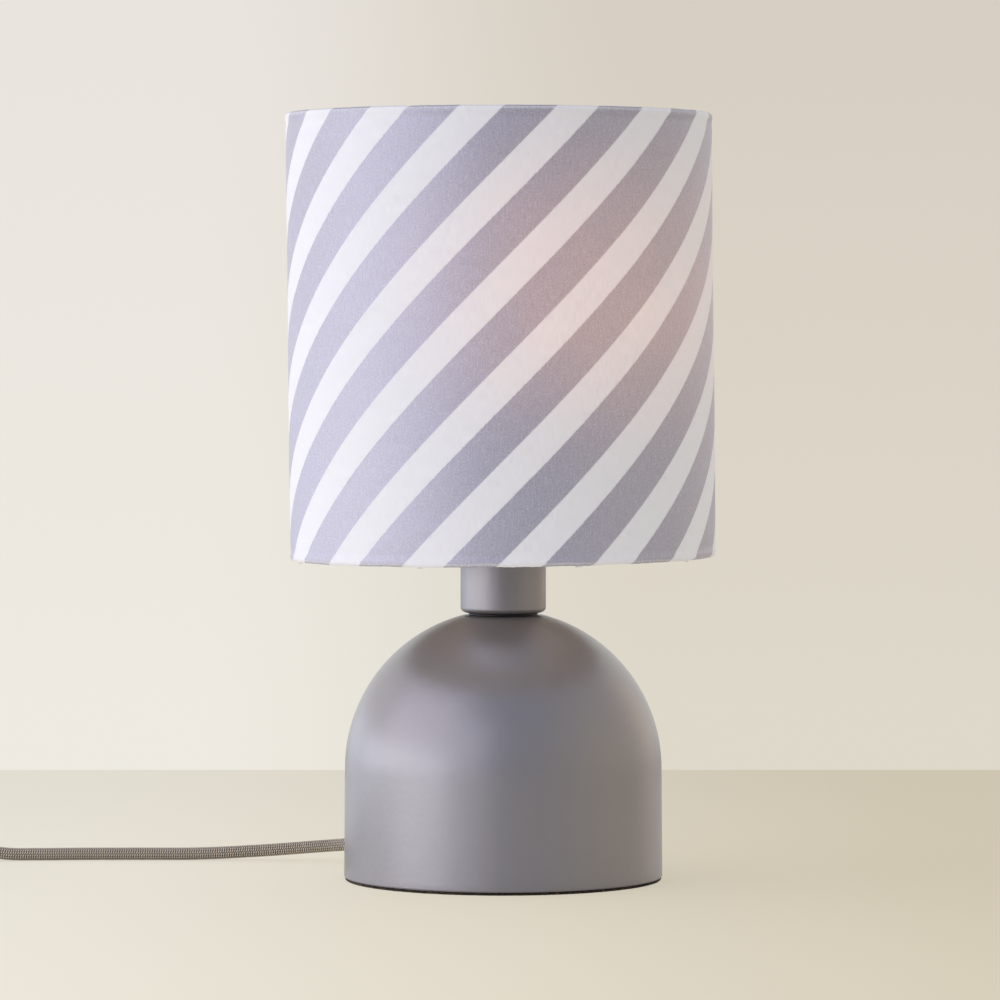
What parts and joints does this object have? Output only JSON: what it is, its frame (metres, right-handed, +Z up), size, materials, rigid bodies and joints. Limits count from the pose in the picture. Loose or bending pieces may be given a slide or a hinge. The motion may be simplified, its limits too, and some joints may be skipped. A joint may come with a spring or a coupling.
{
  "type": "table lamp",
  "caption": "Table lamp with a domed metal foot, a neck cup, a drum shade in diagonally striped fabric, a screw-in lamp, and a textile flex with a rocker switch and plug.",
  "frame": {"origin": "middle of the underside of the felt, on the lamp's upright axis", "axes": "+Z up the lamp's axis, -Y towards the front seen in the picture, +X to its right"},
  "size_m": [0.4792, 0.2122, 0.3645],
  "materials": {
    "satin_paint": "satin lavender-grey spray paint on spun steel",
    "felt": "black felt",
    "zinc_steel": "zinc-plated steel",
    "cast_iron": "rough cast iron, thinly painted",
    "brass": "plain brass",
    "nickel_cap": "nickelled aluminium lamp cap",
    "black_plastic": "moulded black plastic, fine matt texture",
    "grey_plastic": "moulded dark grey plastic, fine matt texture",
    "white_plastic": "smooth white plastic",
    "opal_diffuser": "opal white diffuser, lit warm white",
    "board": "white solder resist on a metal-core board",
    "ceramic": "unglazed steatite",
    "brown_insulation": "brown wire insulation",
    "blue_insulation": "blue wire insulation",
    "striped_fabric": "plain-woven cotton printed with diagonal stripes of warm white and mauve grey",
    "shade_liner": "translucent white styrene lining film",
    "white_wire": "steel wire, white powder coat",
    "textile_flex": "grey-brown braided textile over rubber flex",
    "strap": "black hook-and-loop strap"
  },
  "bodies": {
    "lamp": {"felt_pad": "felt", "base_plate": "zinc_steel", "plate_screw_1": "zinc_steel", "plate_screw_2": "zinc_steel", "plate_screw_3": "zinc_steel", "shell_tab_1": "zinc_steel", "shell_tab_2": "zinc_steel", "shell_tab_3": "zinc_steel", "ballast_weight": "cast_iron", "weight_bolt": "zinc_steel", "base_shell": "satin_paint", "strain_relief": "black_plastic", "cord_stop": "zinc_steel", "inner_cord": "textile_flex", "threaded_tube": "zinc_steel", "tube_nut_lower": "brass", "lock_washer": "zinc_steel", "dome_washer": "zinc_steel", "neck_washer": "black_plastic", "socket_cup": "satin_paint", "tube_nut_upper": "brass", "lampholder_cap": "black_plastic", "lampholder_shell": "black_plastic", "lampholder_core": "ceramic", "screw_contact_shell": "brass", "centre_contact": "brass", "terminal_screw_1": "brass", "terminal_screw_2": "brass", "lead_live": "brown_insulation", "lead_neutral": "blue_insulation", "shade_ring_lower": "black_plastic", "cord_lamp_to_switch": "textile_flex", "switch_base": "grey_plastic", "switch_cover": "grey_plastic", "rocker_pin": "zinc_steel", "switch_screw_1": "zinc_steel", "switch_screw_2": "zinc_steel", "cord_switch_to_coil": "textile_flex", "cord_coil": "textile_flex", "coil_tie": "strap", "plug_body": "black_plastic", "plug_blade_1": "brass", "plug_blade_2": "brass"},
    "shade": {"shade_fabric": "striped_fabric", "shade_liner": "shade_liner", "shade_hoop_top": "white_wire", "shade_hoop_bottom": "white_wire", "shade_arm_1": "white_wire", "shade_arm_2": "white_wire", "shade_arm_3": "white_wire", "shade_fitter_ring": "white_wire"},
    "shade_ring": {"shade_ring_upper": "black_plastic"},
    "bulb_lift": {"bulb_tip": "brass"},
    "bulb": {"bulb_insulator": "black_plastic", "bulb_cap": "nickel_cap", "bulb_housing": "white_plastic", "led_board": "board", "bulb_diffuser": "opal_diffuser"},
    "rocker": {"switch_rocker": "black_plastic"}
  },
  "joints": [
    {"name": "bulb_rise", "type": "slide", "parent": "lamp", "child": "bulb_lift", "axis": [0, 0, 1], "range_m": [0, 0.0218]},
    {"name": "bulb_turn", "type": "hinge", "parent": "bulb_lift", "child": "bulb", "pos_m": [0, 0, 0.2], "axis": [0, 0, 1], "range_deg": [0, 2160]},
    {"name": "shade_swivel", "type": "hinge", "parent": "lamp", "child": "shade", "pos_m": [0, 0, 0.19255], "axis": [0, 0, 1], "continuous": true},
    {"name": "shade_ring_turn", "type": "hinge", "parent": "lamp", "child": "shade_ring", "pos_m": [0, 0, 0.1966], "axis": [0, 0, 1], "range_deg": [0, 180]},
    {"name": "switch_rocker", "type": "hinge", "parent": "lamp", "child": "rocker", "pos_m": [-0.304, 0.087, 0.0145], "axis": [0, 1, 0], "range_deg": [0, 20]}
  ],
  "couplings": [
    {"joint": "bulb_rise", "follows": "bulb_turn", "m_per_rad": 0.00057757}
  ]
}
